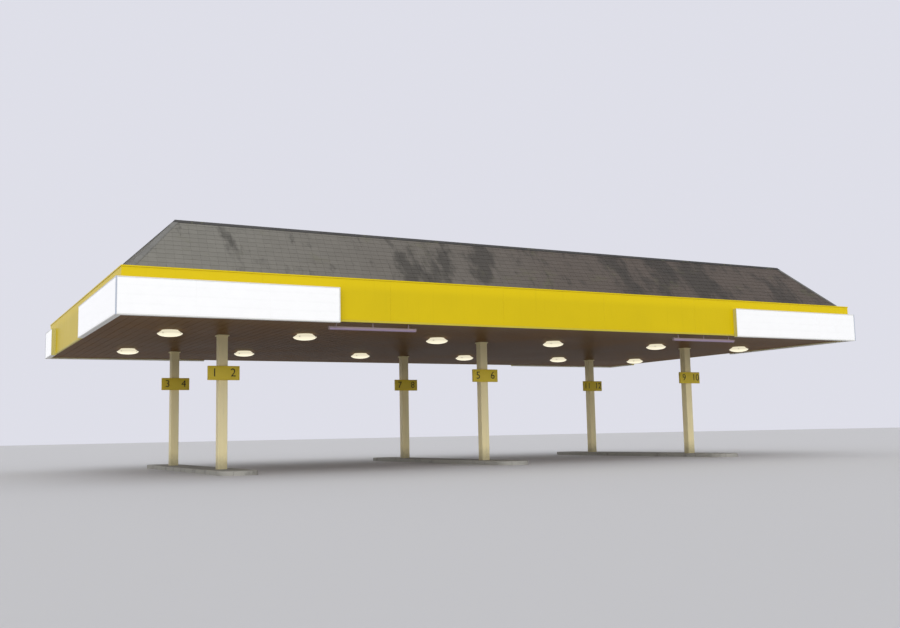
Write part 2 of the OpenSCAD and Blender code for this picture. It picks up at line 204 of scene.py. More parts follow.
def turned(profile, steps, angle=FULL_TURN, ring=False):
    """A new closed bmesh with a profile, given as radius and z, spun round the Z axis."""
    bm = bmesh.new()
    points = [bm.verts.new((r, 0, z)) for r, z in profile]
    pairs = list(zip(points, points[1:]))
    if ring:
        pairs.append((points[-1], points[0]))
    edges = [bm.edges.new(pair) for pair in pairs]
    bmesh.ops.spin(
        bm, geom=points + edges, axis=(0, 0, 1), cent=(0, 0, 0), angle=angle, steps=steps,
        use_merge=angle == FULL_TURN,
    )
    bmesh.ops.remove_doubles(bm, verts=bm.verts, dist=1e-5)
    bmesh.ops.holes_fill(bm, edges=[edge for edge in bm.edges if edge.is_boundary], sides=0)
    return bm


def sleeve(width, radius, thickness, low, high):
    """A new bmesh with a square sleeve with rounded corners, by its outer width, round the Z axis."""
    bm = bmesh.new()
    bmesh.ops.create_grid(bm, x_segments=1, y_segments=1, size=width / 2)
    bmesh.ops.bevel(
        bm, geom=bm.verts[:], offset=radius, affect="VERTICES", segments=4, profile=0.5, material=-1
    )
    inside = bm.faces[:]
    bmesh.ops.inset_region(bm, faces=inside, thickness=thickness, use_boundary=True, use_even_offset=True)
    bmesh.ops.delete(bm, geom=inside, context="FACES")
    grow(bm, bm.faces[:], (0, 0, high - low), move(0, 0, low))
    return bm


def mitre(bm, side, ends=(-1, 1)):
    """Trims a run's ends on the upright planes that halve its corners, and closes the cuts."""
    for end in ends:
        cut = bmesh.ops.bisect_plane(
            bm, geom=bm.verts[:] + bm.edges[:] + bm.faces[:], dist=1e-6,
            plane_co=(end * half_run(side), 0, 0), plane_no=(end, 1, 0), clear_outer=True,
        )
        edges = [item for item in cut["geom_cut"] if isinstance(item, bmesh.types.BMEdge)]
        bmesh.ops.holes_fill(bm, edges=edges, sides=0)


def set_tone(verts, layer, value):
    """Gives the faces at some vertices one value in a layer."""
    for face in {face for vert in verts for face in vert.link_faces}:
        face[layer] = value


def mesh_from(name, bm, materials=()):
    """Turns a bmesh into a mesh with its materials."""
    mesh = bpy.data.meshes.new(name)
    bm.to_mesh(mesh)
    bm.free()
    for material in materials:
        mesh.materials.append(material)
    return mesh


def add_object(name, data):
    """Puts a new object into the scene."""
    added = bpy.data.objects.new(name, data)
    bpy.context.scene.collection.objects.link(added)
    return added


def join(target, part, place=Matrix(), material=0):
    """Moves one bmesh into another, with one of the piece's materials."""
    for face in part.faces:
        face.material_index = material
    mesh = mesh_from("part", part)
    mesh.transform(place)
    target.from_mesh(mesh)
    bpy.data.meshes.remove(mesh)


def join_run(target, part, side, material=0):
    """Mitres a run at both ends and joins it to a piece at its side."""
    mitre(part, side)
    join(target, part, side_place(side), material)


def make_piece(name, bm, materials, replaces=(), smooth_below=None):
    """Turns a bmesh into a piece of the object that rides on its one body."""
    bmesh.ops.recalc_face_normals(bm, faces=bm.faces)
    mesh = mesh_from(name, bm, materials)
    if smooth_below:
        mesh.shade_smooth()
        mesh.set_sharp_from_angle(angle=radians(smooth_below))
    piece = add_object(name, mesh)
    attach(piece, BODY)
    if replaces:
        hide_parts(*replaces)


def coat(material, *nodes):
    """Gives CAD nodes a material."""
    for node in nodes:
        for slot in frame["nodes"][node].material_slots:
            slot.material = material


# Shaders

def linear(colour):
    """A colour as the shaders take it, from one as a screen shows it."""
    def channel(value):
        return value / 12.92 if value <= 0.04045 else ((value + 0.055) / 1.055) ** 2.4
    return (*(channel(value) for value in colour), 1)


def shade(colour, factor):
    """A screen colour made darker or lighter."""
    return tuple(min(1, value * factor) for value in colour)


class Wire:
    """An output socket that can stand in a sum, where each sign adds its Math node."""

    def __init__(self, graph, socket):
        self.graph = graph
        self.socket = socket

    def __add__(self, other):
        return self.graph.maths("ADD", self, other)

    def __sub__(self, other):
        return self.graph.maths("SUBTRACT", self, other)

    def __rsub__(self, other):
        return self.graph.maths("SUBTRACT", other, self)

    def __mul__(self, other):
        return self.graph.maths("MULTIPLY", self, other)

    __radd__ = __add__
    __rmul__ = __mul__


class Graph:
    """The nodes of a material or of the world."""

    def __init__(self, owner):
        owner.use_nodes = True
        self.tree = owner.node_tree
        self.tree.nodes.clear()

    def add(self, kind, settings, inputs, output=0):
        """Adds a node: its settings first, then the values or links of its sockets."""
        node = self.tree.nodes.new(kind)
        for key, value in settings.items():
            setattr(node, key, value)
        for key, value in inputs.items():
            if isinstance(value, Wire):
                self.tree.links.new(value.socket, node.inputs[key])
            else:
                node.inputs[key].default_value = value
        return Wire(self, node.outputs[output]) if node.outputs else None

    def maths(self, operation, left, right):
        return self.add("ShaderNodeMath", {"operation": operation}, {0: left, 1: right})


SOCKETS = {
    "metallic": "Metallic", "specular": "Specular IOR Level", "strength": "Emission Strength",
}


class Shader(Graph):
    """The nodes of one material, whose colour starts from a share of its own one and grows in layers."""

    def __init__(self, name, own, ground=1.0):
        self.material = bpy.data.materials.new(name)
        super().__init__(self.material)
        self.own = own
        self.colour = ground
        self.place = self.add("ShaderNodeTexCoord", {}, {}, "Object")

    def ready(self, colour):
        """A screen colour, or a share of the material's own one, as a socket takes it."""
        if isinstance(colour, Wire):
            return colour
        return linear(shade(self.own, colour) if isinstance(colour, float) else colour)

    def mix(self, first, second, factor, how="MIX"):
        """A colour between two others."""
        settings = {"data_type": "RGBA", "blend_type": how}
        inputs = {0: factor, 6: self.ready(first), 7: self.ready(second)}
        return self.add("ShaderNodeMix", settings, inputs, 2)

    def layer(self, colour, mask, how="MIX"):
        """Lays a colour over what is there, as far as a mask says."""
        self.colour = self.mix(self.colour, colour, mask, how)

    def stretched(self, x, y, z, shift=(0, 0, 0)):
        """The object coordinates, scaled along each axis and then shifted."""
        settings = {"operation": "MULTIPLY_ADD"}
        return self.add("ShaderNodeVectorMath", settings, {0: self.place, 1: (x, y, z), 2: shift})

    def noise(self, scale, detail=4, roughness=0.55, vector=None):
        return self.add("ShaderNodeTexNoise", {}, {
            "Vector": vector or self.place, "Scale": scale, "Detail": detail, "Roughness": roughness,
        })

    def band(self, value, low, high):
        """0 at low, 1 at high and a smooth rise between them."""
        settings = {"interpolation_type": "SMOOTHSTEP"}
        return self.add("ShaderNodeMapRange", settings, {"Value": value, "From Min": low, "From Max": high})

    def line(self, value, spacing, width):
        """1 on evenly spaced lines and 0 between them."""
        return 1 - self.band(self.maths("PINGPONG", value, spacing / 2), width / 4, width / 2)

    def axis(self, name):
        """One of the object coordinates."""
        return self.add("ShaderNodeSeparateXYZ", {}, {0: self.place}, name)

    def attribute(self, name):
        """A number that the piece's own faces carry."""
        return self.add("ShaderNodeAttribute", {"attribute_name": name}, {}, "Fac")

    def bump(self, height, distance):
        return self.add("ShaderNodeBump", {}, {"Height": height, "Distance": distance})

    def finish(self, roughness, normal=None, glow=None, **constants):
        """Ends the graph in a Principled shader and gives the material."""
        inputs = {"Base Color": self.ready(self.colour), "Roughness": roughness}
        if normal:
            inputs["Normal"] = normal
        if glow:
            inputs["Emission Color"] = glow
        for key, value in constants.items():
            inputs[SOCKETS[key]] = value
        shader = self.add("ShaderNodeBsdfPrincipled", {}, inputs)
        self.add("ShaderNodeOutputMaterial", {}, {"Surface": shader})
        return self.material


def slate_finish(name, colours, fall):
    """Weathered slates: a tone to each, browner to the right, with dark growth down the fall line and a
    painted shadow along the eaves.
    """
    s = Shader(name, colours.slate)
    runs = s.stretched(*fall, (74.0, 26.0, 42.0))
    age = s.band(s.axis("X") + s.noise(0.22, 3) * 6, -12.5, 8.5)
    s.layer(colours.slate_aged, age)
    s.layer(0.92 + s.attribute("tone") * 0.08 + s.noise(1.3, 5, 0.6) * 0.14, 1.0, "MULTIPLY")
    s.layer(colours.slate_growth, s.band(s.noise(0.75, 7, 0.64, runs) + age * 0.10, 0.565, 0.69) * 0.68)
    s.layer(colours.slate_growth, s.band(s.noise(2.4, 6, 0.66, runs) + age * 0.06, 0.59, 0.70) * 0.45)
    s.layer(colours.moss, s.band(s.noise(0.9, 6, 0.7), 0.56, 0.68) * 0.28)
    lichen = s.band(s.noise(26.0, 3, 0.6), 0.68, 0.75)
    s.layer(1.3, lichen * 0.30)
    # Painted shadow: a dark band along the foot of the slope, where the fascia and the gutter shade the
    # eaves.
    foot = 1 - s.band(s.axis("Z") + s.noise(3.0, 4) * 0.12, EAVES_Z, EAVES_Z + 0.16)
    s.layer(colours.eaves_shadow, foot * 0.55)
    grain = s.noise(34.0, 5, 0.65)
    return s.finish(0.60 + grain * 0.25, s.bump(grain, 0.002), specular=0.25)


def capping_finish(name, colour_value, moss):
    """Ridge or hip tiles with a tone to each, grime, a little moss and a darker right end."""
    s = Shader(name, colour_value, 0.9)
    s.layer(1.2, s.noise(3.0, 5))
    aged = s.band(s.axis("X"), -HALF_LENGTH, HALF_LENGTH)
    s.layer(0.94 + s.attribute("tone") * 0.12 - aged * 0.30, 1.0, "MULTIPLY")
    s.layer(moss, s.band(s.noise(5.0, 4), 0.60, 0.70) * 0.4)
    return s.finish(0.75, s.bump(s.noise(40.0, 4), 0.003), specular=0.25)


def yellow_finish(name, colour_value):
    """Powder-coated yellow sheet with faint oil-canning, rain streaks and a top made lighter as painted light
    from the sky.
    """
    s = Shader(name, colour_value, 0.97)
    s.layer(1.02, s.noise(0.55, 3))
    # Painted light: the top of the fascia is made lighter, as if lit by the sky above.
    s.layer(1.05, s.band(s.axis("Z"), FASCIA_TOP - 0.45, FASCIA_TOP - 0.15) * 0.8)
    streaks = s.noise(5.0, 5, 0.6, s.stretched(2.2, 2.2, 0.12))
    s.layer(0.80, s.band(streaks, 0.56, 0.74) * 0.10)
    return s.finish(0.30 + streaks * 0.18, s.bump(s.noise(0.9, 2), 0.006), specular=0.18)


def paint_finish(name, colour_value, roughness=0.4, grime=0.25, tall=False):
    """Painted sheet with faint streaks; a tall casing has splash dirt at its foot and painted shade at its
    head, below the soffit.
    """
    s = Shader(name, colour_value)
    streaks = s.noise(9.0, 5, 0.6, s.stretched(2, 2, 0.15))
    s.layer(0.78, s.band(streaks, 0.5, 0.8) * grime)
    if tall:
        ragged = s.axis("Z") + s.noise(7.0, 4) * 0.25
        # Painted shade: the casing grows darker towards its head, below the soffit.
        s.layer(0.70, s.band(ragged, SOFFIT_Z - 1.5, SOFFIT_Z - 0.1) * 0.45)
        s.layer(0.45, (1 - s.band(ragged, 0.2, 0.85)) * 0.6)
    return s.finish(roughness + streaks * 0.15, s.bump(s.noise(60.0, 2), 0.0006), specular=0.35)


def soffit_finish(colours):
    """Satin soffit trays, their dark brown partly painted shade, with dust patches and a paler band along the
    front that is painted glow from the signs.
    """
    # The trays' dark brown is partly painted shade: darker than their own paint, for the shade under the
    # canopy.
    s = Shader("soffit_tray", colours.soffit)
    dust = s.noise(0.35, 3, 0.5)
    s.layer(1.25, s.band(dust, 0.4, 0.7) * 0.3)
    # Painted light: a paler band along the front, where the glow of the signs would fall on the trays.
    front = 1 - s.band(s.axis("Y") + s.noise(0.5, 3) * 1.5, SOFFIT[0].y + 0.3, SOFFIT[0].y + 3.2)
    s.layer(colours.soffit_front_glow, front * 0.45)
    return s.finish(0.34 + dust * 0.16, s.bump(s.noise(1.6, 2), 0.003), specular=0.008)


def opal_finish(name, colour_value, strength):
    """An opal sheet lit from behind by level rows of tubes."""
    s = Shader(name, colour_value, 0.78)
    dust = s.noise(3.0, 4)
    s.layer(0.82, dust)
    lit = s.mix(0.975, 1.0, s.line(s.axis("Z"), 0.26, 0.30))
    return s.finish(0.25 + dust * 0.1, glow=lit, strength=strength)


def lamp_finish(name, colour_value, strength, body=0.35):
    """A lamp's moulded cover with fine prisms, lit from inside."""
    s = Shader(name, colour_value, body)
    haze = s.noise(4.0, 3)
    deep = 1 - s.band(s.axis("Z"), SOFFIT_Z - 0.22, SOFFIT_Z - 0.12)
    lit = s.mix(0.95, 1.0, deep * 0.8 + haze * 0.2)
    ribs = s.bump(s.line(s.axis("Z"), 0.012, 0.012), 0.002)
    return s.finish(0.25 + haze * 0.1, ribs, glow=lit, strength=strength)


def metal_finish(name, colour_value, roughness, stains=0.3):
    """Galvanised or mill-finish sheet with dull patches."""
    s = Shader(name, colour_value)
    patches = s.noise(6.0, 5, 0.6)
    s.layer(0.7, s.band(patches, 0.45, 0.75) * stains)
    return s.finish(roughness + patches * 0.2, s.bump(s.noise(50.0, 3), 0.0008), metallic=0.4)


def deck_finish(colours):
    """Coated deck sheet with dirt that rain leaves in the pans and a dark line at each end lap."""
    s = Shader("deck_sheet", colours.sheet)
    patches = s.noise(0.8, 6, 0.62)
    s.layer(0.72, s.band(patches, 0.45, 0.70) * 0.6)
    low = 1 - s.band(s.axis("Z"), DECK_TOP - 0.030, DECK_TOP - 0.005)
    s.layer(colours.deck_dirt, low * (0.30 + patches * 0.5))
    laps = s.line(s.axis("Y"), 5.2, 0.012)
    s.layer(0.4, laps * 0.7)
    return s.finish(0.45 + patches * 0.25, s.bump(s.noise(30.0, 3) * 0.2 + laps, 0.002), metallic=0.2)


def concrete_finish(name, colour_value, bay=None):
    """Cast concrete with fine aggregate, stains and, where it is cast in bays, sawn joints."""
    s = Shader(name, colour_value, 0.86)
    grain = s.noise(55.0, 4, 0.7)
    s.layer(1.10, grain)
    s.layer(0.58, s.band(s.noise(1.7, 6, 0.62), 0.50, 0.75) * 0.6)
    height = grain * 0.002
    if bay:
        joints = s.line(s.axis("Y") + s.noise(3.0, 2) * 0.004, bay, 0.014)
        s.layer(0.35, joints * 0.8)
        height = height - joints * 0.008
    return s.finish(0.8 + grain * 0.15, s.bump(height, 1.0), specular=0.3)


def timber_finish(name, colour_value):
    """Treated softwood with its grain."""
    s = Shader(name, colour_value, 0.75)
    grain = s.noise(6.0, 6, 0.6, s.stretched(0.6, 9, 9))
    s.layer(1.0, grain)
    return s.finish(0.75, s.bump(grain, 0.001))


def felt_finish(colours):
    """Dark roofing underlay with a slight crinkle."""
    s = Shader("underlay", colours.felt, 0.8)
    crinkle = s.noise(9.0, 5, 0.6)
    s.layer(1.2, crinkle)
    return s.finish(0.9, s.bump(crinkle, 0.004), specular=0.2)


# What a user can change

def size_property(name, description, default, low):
    return FloatProperty(name=name, description=description, default=default, min=low, unit="LENGTH")


class CanopySizes(bpy.types.PropertyGroup):
    """Sizes of what is laid over the solids."""

    slate_width: size_property("Slate width", "Width of one slate", 0.25, 0.15)
    slate_gauge: size_property("Slate gauge", "Height of a course up the slope", 0.207, 0.1)
    slate_thickness: size_property("Slate thickness", "Thickness of one slate", 0.006, 0.004)
    tile_length: size_property("Ridge tile length", "Length of the ridge and hip tiles", 0.45, 0.2)
    panel_length: size_property("Panel length", "Length of the fascia panels", 4.0, 1)
    sheet_length: size_property("Sheet length", "Length of the opal sheets", 2.15, 0.5)
    tray_width: size_property("Tray width", "Cover width of the soffit trays", 0.3, 0.1)
    kerb_length: size_property("Kerb length", "Length of a straight kerb stone", 0.915, 0.3)
    numeral_height: size_property("Numeral height", "Height of the numbers on the flags", 0.28, 0.1)


def colour_property(name, description, default):
    return FloatVectorProperty(
        name=name, description=description, default=default, subtype="COLOR_GAMMA", size=3, min=0, max=1
    )


class CanopyColours(bpy.types.PropertyGroup):
    """Colours of the finishes, as a screen shows them."""

    slate: colour_property("Slate", "Clean weathered slate", (0.485, 0.475, 0.445))
    slate_aged: colour_property("Aged slate", "Browner slate towards the right", (0.34, 0.305, 0.28))
    slate_growth: colour_property("Growth", "Dark growth that runs down the slates", (0.215, 0.205, 0.19))
    moss: colour_property("Moss", "Moss on slates and tiles", (0.41, 0.41, 0.30))
    # Colour of the painted shadow along the eaves of the slates.
    eaves_shadow: colour_property("Eaves grime", "Dirt along the eaves", (0.30, 0.25, 0.19))
    capping: colour_property("Ridge tiles", "Ridge tiles", (0.27, 0.265, 0.26))
    hip: colour_property("Hip tiles", "Hip tiles", (0.44, 0.435, 0.42))
    mortar: colour_property("Mortar", "Bedding under the tiles and between the kerbs", (0.36, 0.35, 0.33))
    felt: colour_property("Felt", "Underlay beneath the slates", (0.19, 0.185, 0.18))
    fascia: colour_property("Fascia", "Fascia panels and copings", (0.85, 0.745, 0.0))
    fascia_lip: colour_property("Fascia lip", "Lower edge of the fascia", (0.80, 0.73, 0.25))
    opal: colour_property("Opal", "Lit sign faces", (1.0, 1.0, 1.0))
    frame: colour_property("Sign frame", "Rims round the sign faces", (0.90, 0.90, 0.88))
    trim: colour_property("Trim", "Trims at the corners of the sign boxes", (0.72, 0.75, 0.80))
    sign_return: colour_property("Sign returns", "Ends of the sign boxes", (0.78, 0.74, 0.43))
    # Partly painted shade: darker than the trays' own paint.
    soffit: colour_property("Soffit", "Soffit trays", (0.425, 0.312, 0.182))
    # Colour of the painted glow from the signs along the front of the soffit.
    soffit_front_glow: colour_property("Soffit dust", "Paler dust along the front", (0.50, 0.41, 0.30))
    lamp: colour_property("Lamp", "Lit lamp bowls", (1.0, 0.965, 0.85))
    housing: colour_property("Housing", "Lamp housings", (0.92, 0.90, 0.82))
    strip: colour_property("Strip", "Strip light covers", (0.61, 0.53, 0.63))
    strip_body: colour_property("Strip body", "Strip light bodies", (0.56, 0.49, 0.49))
    column: colour_property("Column", "Column casings", (1.0, 0.94, 0.735))
    flag: colour_property("Flag", "Number flags", (0.90, 0.80, 0.27))
    numeral: colour_property("Numeral", "Numbers on the flags", (0.16, 0.17, 0.11))
    concrete: colour_property("Concrete", "Island slabs", (0.58, 0.57, 0.54))
    kerb: colour_property("Kerb", "Kerb stones", (0.66, 0.65, 0.62))
    sheet: colour_property("Sheet", "Deck, linings and gutters", (0.60, 0.61, 0.62))
    deck_dirt: colour_property("Deck dirt", "Dirt in the pans of the deck", (0.36, 0.35, 0.31))
    steel: colour_property("Steel", "Steel frame", (0.45, 0.46, 0.47))
    timber: colour_property("Timber", "Eaves plates", (0.62, 0.50, 0.34))
    floor: colour_property("Floor", "Floor of the stage", (0.80, 0.795, 0.80))
    backdrop: colour_property("Backdrop", "Backdrop of the stage", (0.872, 0.874, 0.912))


def choices(context):
    """The user's sizes and colours."""
    return context.scene.canopy_sizes, context.scene.canopy_colours


class CANOPY_OT_stage(bpy.types.Operator):
    """Set the camera, the floor, the backdrop and the light"""

    bl_idname = "canopy.stage"
    bl_label = "Stage"

    # The camera, from the middle of the plan at ground level
    camera_place = (-18.95, -35.90, 1.142)
    yaw = radians(28.069)
    pitch = radians(6.766)
    roll = radians(-1.168)
    lens = 40.36
    sensor = 36.0
    floor_reach = 400.0

    # The lamps: strength, tilt from overhead and bearing, and the angle that each fills
    suns = {
        "sky_key": (1.00, radians(56), radians(-38), radians(60)),
        "sky_low": (0.95, radians(80), radians(-14), radians(80)),
        "sky_fill": (0.35, radians(60), radians(150), radians(90)),
    }
    sky_colour = (0.94, 0.96, 1.0, 1)
    sky_strength = 0.62

    def execute(self, context):
        colours = context.scene.canopy_colours
        self.set_camera(context.scene)
        self.set_world(context.scene, colours)
        self.lay_floor(colours)
        for name, values in self.suns.items():
            self.hang_sun(name, *values)
        return {"FINISHED"}

    def lay_floor(self, colours):
        bm = bmesh.new()
        bmesh.ops.create_circle(bm, cap_ends=True, segments=256, radius=self.floor_reach)
        finish = Shader("floor", colours.floor).finish(0.9, specular=0.1)
        floor = add_object("floor", mesh_from("floor", bm, [finish]))

    def hang_sun(self, name, strength, tilt, bearing, spread):
        lamp = bpy.data.lights.new(name, "SUN")
        lamp.energy = strength
        lamp.angle = spread
        sun = add_object(name, lamp)
        sun.rotation_euler = (tilt, 0, bearing)

    def set_camera(self, scene):
        data = bpy.data.cameras.new("camera")
        data.lens = self.lens
        data.sensor_width = self.sensor
        data.sensor_fit = "HORIZONTAL"
        data.clip_end = 2 * self.floor_reach
        camera = add_object("camera", data)
        aim = turn(-self.yaw) @ turn(pi / 2 + self.pitch, "X") @ turn(self.roll)
        camera.matrix_world = move(*self.camera_place) @ aim
        scene.camera = camera

    def set_world(self, scene, colours):
        """A soft sky that lights, and a plain backdrop wherever the camera or a reflection sees it."""
        scene.view_settings.view_transform = "Standard"
        scene.world = bpy.data.worlds.new("sky")
        graph = Graph(scene.world)
        camera, glossy, passing = (
            graph.add("ShaderNodeLightPath", {}, {}, ray)
            for ray in ("Is Camera Ray", "Is Glossy Ray", "Is Transmission Ray")
        )
        shows = graph.maths("MAXIMUM", graph.maths("MAXIMUM", camera, glossy), passing)
        sky = graph.add("ShaderNodeBackground", {}, {"Color": self.sky_colour, "Strength": self.sky_strength})
        backdrop = graph.add("ShaderNodeBackground", {}, {"Color": linear(colours.backdrop)})
        mixed = graph.add("ShaderNodeMixShader", {}, {0: shows, 1: sky, 2: backdrop})
        graph.add("ShaderNodeOutputWorld", {}, {"Surface": mixed})


class CANOPY_OT_slates(bpy.types.Operator):
    """Lay slates in double-lap courses on the four slopes, cut at the hips"""

    bl_idname = "canopy.slates"
    bl_label = "Slates"

    overhang = 0.045
    lap = 0.08
    gap = 0.004
    bed = 0.002
    slip = 0.002
    twist = 0.003
    rock = 0.0015

    def execute(self, context):
        sizes, colours = choices(context)
        long_fall = slate_finish("slates_long", colours, (1.0, 0.46, 0.40))
        short_fall = slate_finish("slates_short", colours, (0.46, 1.0, 0.40))
        rng = random.Random(7)
        for side in range(4):
            bm = bmesh.new()
            self.lay_side(bm, side, sizes, rng)
            mitre(bm, side)
            bmesh.ops.transform(bm, matrix=side_place(side), verts=bm.verts)
            finish = long_fall if side in (FRONT, BACK) else short_fall
            make_piece("slates_" + SIDE_NAMES[side], bm, [finish])
        coat(felt_finish(colours), *("slope_" + name for name in SIDE_NAMES))
        return {"FINISHED"}

    def lay_side(self, bm, side, sizes, rng):
        """Each slate lies on the one a course below, so all lie at one small angle to the slope."""
        foot = SLOPE_LENGTH + self.overhang
        courses = round(foot / sizes.slate_gauge)
        gauge = foot / courses
        length = 2 * gauge + self.lap
        tilt = asin(sizes.slate_thickness / gauge)
        half = (sizes.slate_width - self.gap) / 2
        tone = bm.faces.layers.float.new("tone")
        rows = [(foot, length - gauge, True)]
        rows += [(foot - i * gauge, length, i % 2 == 1) for i in range(courses)]
        for down, reach, shifted in rows:
            y, z = on_slope(down, self.bed + reach * sin(tilt))
            end = half_run(side) - y + sizes.slate_width
            for i in range(ceil(2 * end / sizes.slate_width) + 1):
                place = (
                    move(-end + (i + shifted / 2) * sizes.slate_width, y, z) @ turn(SLOPE_PITCH, "X")
                    @ turn(-tilt + rng.uniform(-self.rock, self.rock), "X")
                    @ turn(rng.uniform(-self.twist, self.twist))
                )
                near = (-half, rng.uniform(-self.slip, self.slip), 0)
                far = (half, min(reach, down), sizes.slate_thickness)
                set_tone(add_box(bm, near, far, place), tone, rng.random())


class CANOPY_OT_cappings(bpy.types.Operator):
    """Bed the ridge tiles and the hip tiles in mortar"""

    bl_idname = "canopy.cappings"
    bl_label = "Ridge and hip tiles"

    capping = box_of("ridge_cappings_long")
    height = capping[1].z - RIDGE_Z
    drop = RIDGE_Z - capping[0].z
    width = (RIDGE_INSET - HALF_DEPTH - capping[0].y) / cos(SLOPE_PITCH) - height * tan(SLOPE_PITCH)
    lip = 0.014
    gap = 0.005
    edge = 0.004
    bedding = 0.006
    tile_thickness = 0.012
    hip_width = 0.11
    hip_sink = 0.003
    hip_height = height - hip_sink
    hip_start = 0.03
    hip_overhang = 0.06

    def execute(self, context):
        sizes, colours = choices(context)
        tile = capping_finish("ridge_tile", colours.capping, colours.moss)
        hip_tile = capping_finish("hip_tile", colours.hip, colours.moss)
        mortar = concrete_finish("mortar", colours.mortar)
        rng = random.Random(11)
        for name, sides in (("long", (FRONT, BACK)), ("short", (RIGHT, LEFT))):
            bm = bmesh.new()
            for side in sides:
                self.ridge(bm, side, sizes.tile_length, rng)
            make_piece("ridge_tiles_" + name, bm, [tile, mortar], ("ridge_cappings_" + name,))
        bm = bmesh.new()
        for side in range(4):
            self.hip(bm, side, sizes.tile_length, rng)
        make_piece("hip_tiles", bm, [hip_tile, mortar], ("hip_cappings",))
        return {"FINISHED"}

    def tiles(self, section, parts, rng):
        """A new bmesh with one tile of a section for each part of a run, each with its own tone."""
        bm = bmesh.new()
        tone = bm.faces.layers.float.new("tone")
        for start, end in parts:
            set_tone(add_prism(bm, section, start, end), tone, rng.random())
        bevel(bm, self.edge)
        return bm

    def ridge_section(self, shrink):
        """An angle tile in a run's section: down the slope, over the ridge and down the lining."""
        height = self.height - shrink
        drop = self.drop - shrink
        width = self.width - shrink
        lip = WELL_INSET + self.lip - shrink
        bend = -height * (1 - cos(SLOPE_PITCH)) / sin(SLOPE_PITCH)
        return [
            on_slope(width, 0), (RIDGE_INSET, RIDGE_Z), (WELL_INSET, RIDGE_Z), (WELL_INSET, RIDGE_Z - drop),
            (lip, RIDGE_Z - drop), (lip, RIDGE_Z + height), on_slope(bend, height), on_slope(width, height),
        ]

    def ridge(self, bm, side, length, rng):
        reach = half_run(side) - RIDGE_INSET
        past = reach + 2 * self.width
        parts = even_parts(-reach, reach, length, self.gap)
        parts[0] = (-past, parts[0][1])
        parts[-1] = (parts[-1][0], past)
        join_run(bm, self.tiles(self.ridge_section(0), parts, rng), side, 0)
        join_run(bm, prisms(self.ridge_section(self.bedding), [(-past, past)]), side, 1)

    def hip_section(self, outer, inner, width):
        """The V of a hip tile, across the hip and off it, between two heights off the slopes."""
        lean = asin(sin(SLOPE_PITCH) / sqrt(2))

        def wing(sign, height):
            across = width * cos(lean) + height * sin(lean)
            return sign * across, height * cos(lean) - width * sin(lean)

        return [
            wing(-1, outer), (0, outer / cos(lean)), wing(1, outer),
            wing(1, inner), (0, inner / cos(lean)), wing(-1, inner),
        ]

    def hip(self, bm, side, length, rng):
        """The hip at the left end of a side, from under the ridge tiles down past the slope's foot."""
        up = Vector((1, 1, tan(SLOPE_PITCH)))
        slope_per_hip = up.length * cos(SLOPE_PITCH)
        up.normalize()
        across = Vector((-1, 1, 0)).normalized()
        leaning = Matrix((up, across, up.cross(across))).transposed().to_4x4()
        place = side_place(side) @ move(RIDGE_INSET - half_run(side), RIDGE_INSET, RIDGE_Z) @ leaning
        foot = -SLOPE_LENGTH * slope_per_hip - self.hip_overhang
        parts = even_parts(foot, -self.hip_start, length, self.gap)
        section = self.hip_section(self.hip_height, self.hip_height - self.tile_thickness, self.hip_width)
        join(bm, self.tiles(section, parts, rng), place, 0)
        core = self.hip_section(self.hip_height - self.bedding, 0, self.hip_width - self.bedding)
        join(bm, prisms(core, [(foot + self.bedding, -self.hip_start)]), place, 1)


class CANOPY_OT_fascias(bpy.types.Operator):
    """Clad the fascias with jointed panels, a coping and a pale lower trim"""

    bl_idname = "canopy.fascias"
    bl_label = "Fascias"

    joint = 0.003
    skin = 0.004
    depth = 0.02
    edge = 0.002
    past = 0.1
    lip_height = 0.055
    lip_proud = 0.010
    strap_width = 0.08
    strap_proud = 0.0015
    overlap = 0.001

    def execute(self, context):
        sizes, colours = choices(context)
        yellow = yellow_finish("fascia_panel", colours.fascia)
        lip = yellow_finish("fascia_lip", colours.fascia_lip)
        backing = paint_finish("fascia_backing", shade(colours.fascia, 0.8))
        for side in range(4):
            bm = bmesh.new()
            reach = half_run(side) + self.past
            runs = even_parts(-reach, reach, sizes.panel_length, self.joint)
            join_run(bm, self.panels(runs), side, 0)
            join_run(bm, self.lips(runs), side, 1)
            make_piece("fascia_panels_" + SIDE_NAMES[side], bm, [yellow, lip])
            coat(backing, "fascia_" + SIDE_NAMES[side])
        return {"FINISHED"}

    def panels(self, runs):
        """Panels and coping lengths, with a lap strap over each joint of the coping."""
        bm = bmesh.new()
        low = FASCIA_Z + self.lip_height + self.joint
        high = FASCIA_TOP - COPING_NOSE_DEPTH - self.joint
        for start, end in runs:
            add_box(bm, (start, -self.skin, low), (end, self.depth, high))
            add_prism(bm, self.coping(self.joint), start, end)
        strap = self.coping(self.joint + self.strap_proud)
        for start, end in zip(runs, runs[1:]):
            middle = (start[1] + end[0]) / 2
            add_prism(bm, strap, middle - self.strap_width / 2, middle + self.strap_width / 2)
        bevel(bm, self.edge)
        return bm

    def coping(self, proud):
        """The coping's section, a little outside the solid's."""
        top = FASCIA_TOP + proud
        under = FASCIA_TOP - COPING_THICKNESS
        nose = FASCIA_TOP - COPING_NOSE_DEPTH
        front = -COPING_NOSE - proud
        back = COPING_WIDTH + proud
        inner = self.overlap
        return [(front, top), (back, top), (back, under), (inner, under), (inner, nose), (front, nose)]

    def lips(self, runs):
        """The pale trim along the fascia's lower edge."""
        near = (-self.lip_proud, FASCIA_Z - self.edge)
        far = (FASCIA_THICKNESS + self.edge, FASCIA_Z + self.lip_height)
        return boxes([((start, *near), (end, *far)) for start, end in runs], 3 * self.edge, 2)


